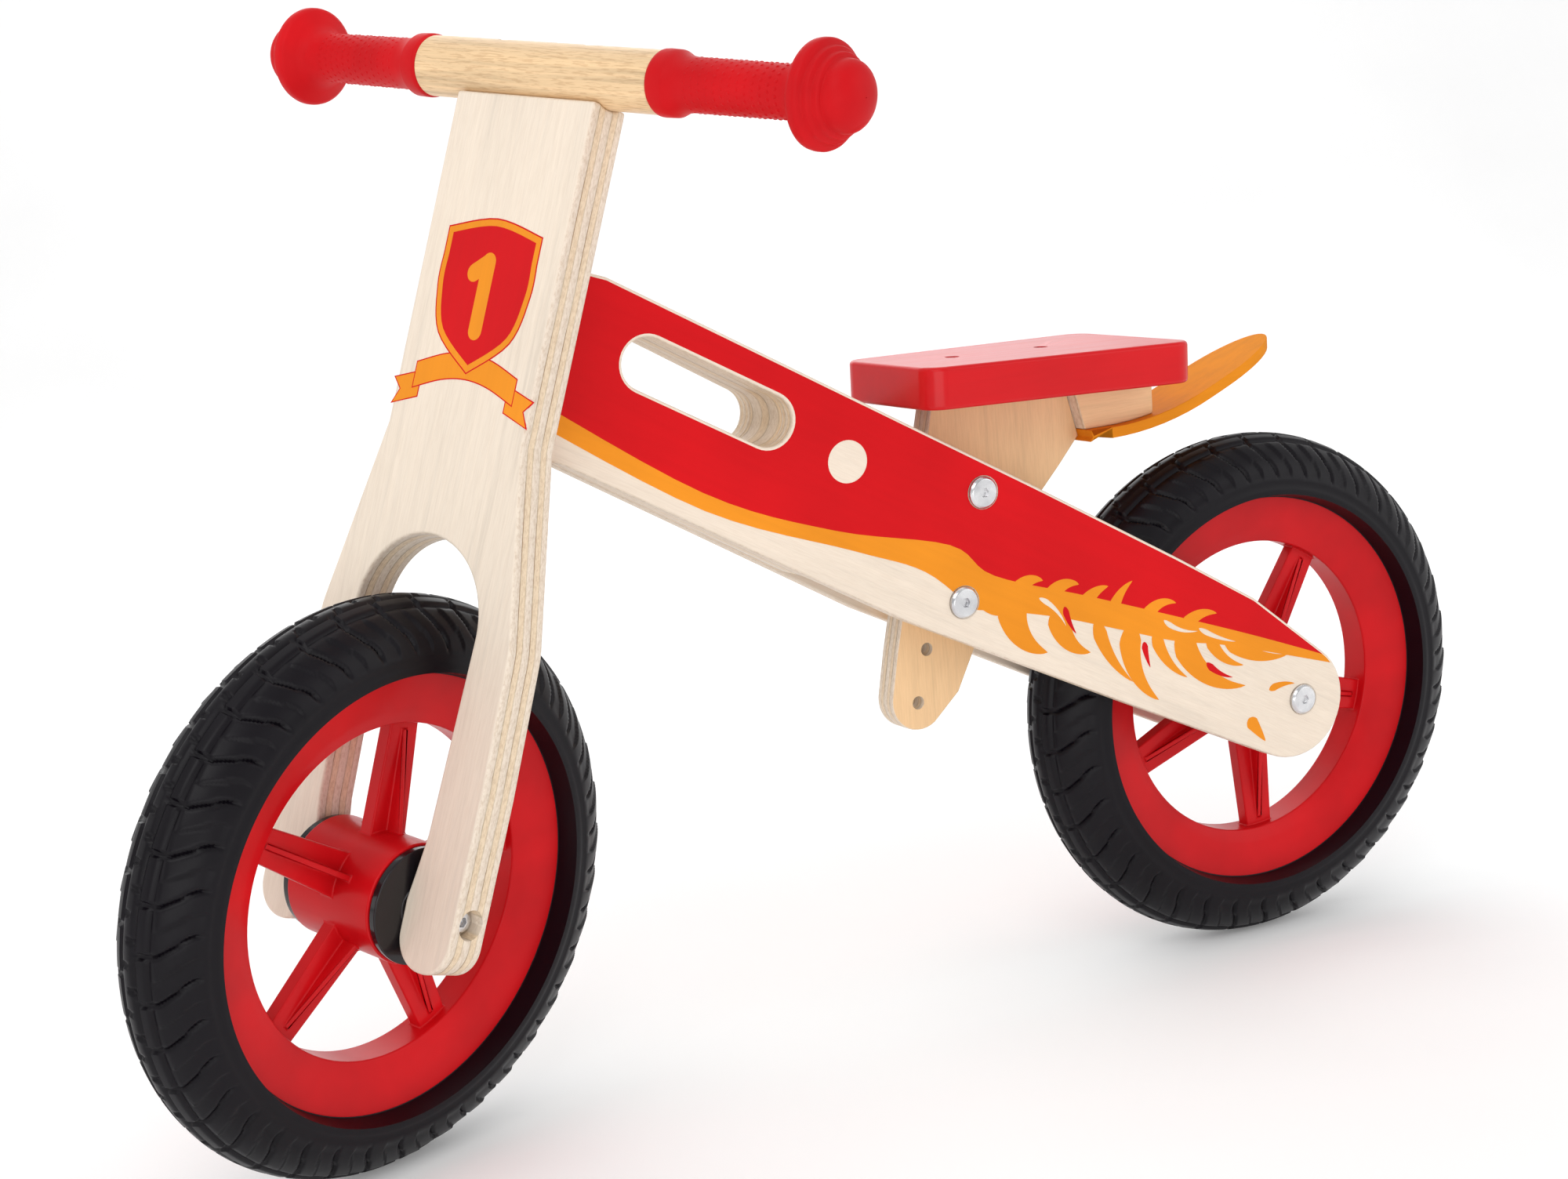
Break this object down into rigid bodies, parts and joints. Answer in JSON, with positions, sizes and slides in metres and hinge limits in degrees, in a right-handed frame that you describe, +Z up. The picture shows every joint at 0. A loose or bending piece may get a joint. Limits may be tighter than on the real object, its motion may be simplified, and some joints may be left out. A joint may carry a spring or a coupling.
{
  "type": "balance bike",
  "caption": "Wooden balance bike with splayed plywood side panels, a steering fork board with dowel handlebar, a height-adjustable seat post and spoked wheels with foam tyres.",
  "frame": {"origin": "on the ground under the middle of the bike's box, with the fork turned 21 degrees to the left", "axes": "+X towards the front wheel, +Y towards the rider's left, +Z up"},
  "size_m": [0.8241, 0.3618, 0.5618],
  "materials": {
    "red_painted_plywood": "satin paint over birch plywood",
    "birch_plywood": "clear satin lacquer",
    "beech": "clear satin lacquer",
    "orange_painted_plywood": "gloss paint over plywood",
    "foam_tyre": "moulded foam, slight sheen",
    "red_plastic": "moulded, satin gloss",
    "red_rubber": "moulded, soft sheen",
    "plated_steel": "zinc plated, polished",
    "black_plastic": "moulded, glossy",
    "nylon": "as moulded"
  },
  "bodies": {
    "frame": {"left_side_panel": "red_painted_plywood", "right_side_panel": "red_painted_plywood", "head_block": "birch_plywood", "left_spacer_block": "birch_plywood", "right_spacer_block": "birch_plywood", "seat_post": "birch_plywood", "seat": "red_painted_plywood", "tail_wedge": "birch_plywood", "tail_plate": "orange_painted_plywood", "seat_screws": "plated_steel", "tail_screws": "plated_steel", "seat_post_bolts": "plated_steel", "seat_post_cap_nuts": "plated_steel", "rear_axle_bolt": "plated_steel", "rear_axle_cap_nut": "plated_steel", "rear_wheel_spacers": "black_plastic", "steering_bushes": "nylon"},
    "fork": {"steering_bracket": "plated_steel", "steering_bolt": "plated_steel", "steering_lock_nut": "plated_steel", "bracket_screws": "plated_steel", "fork_board": "birch_plywood", "handlebar_dowel": "beech", "handlebar_bolts": "plated_steel", "handlebar_barrel_nuts": "plated_steel", "left_grip": "red_rubber", "right_grip": "red_rubber", "front_axle_bolt": "plated_steel", "front_axle_cap_nut": "plated_steel", "front_wheel_spacers": "black_plastic"},
    "rear_wheel": {"rear_tyre": "foam_tyre", "rear_rim": "red_plastic", "rear_wheel_bushes": "nylon"},
    "front_wheel": {"front_tyre": "foam_tyre", "front_rim": "red_plastic", "front_wheel_bushes": "nylon"}
  },
  "joints": [
    {"name": "steering", "type": "hinge", "parent": "frame", "child": "fork", "pos_m": [0.23916, -0.01434, 0.13165], "axis": [-0.3338, 0, 0.9426], "range_deg": [-56, 14]},
    {"name": "rear_wheel_spin", "type": "hinge", "parent": "frame", "child": "rear_wheel", "pos_m": [-0.26714, -0.01434, 0.145], "axis": [0, 1, 0], "continuous": true},
    {"name": "front_wheel_spin", "type": "hinge", "parent": "fork", "child": "front_wheel", "pos_m": [0.27436, 0, 0.14412], "axis": [-0.3378, 0.9336, -0.1196], "continuous": true}
  ]
}
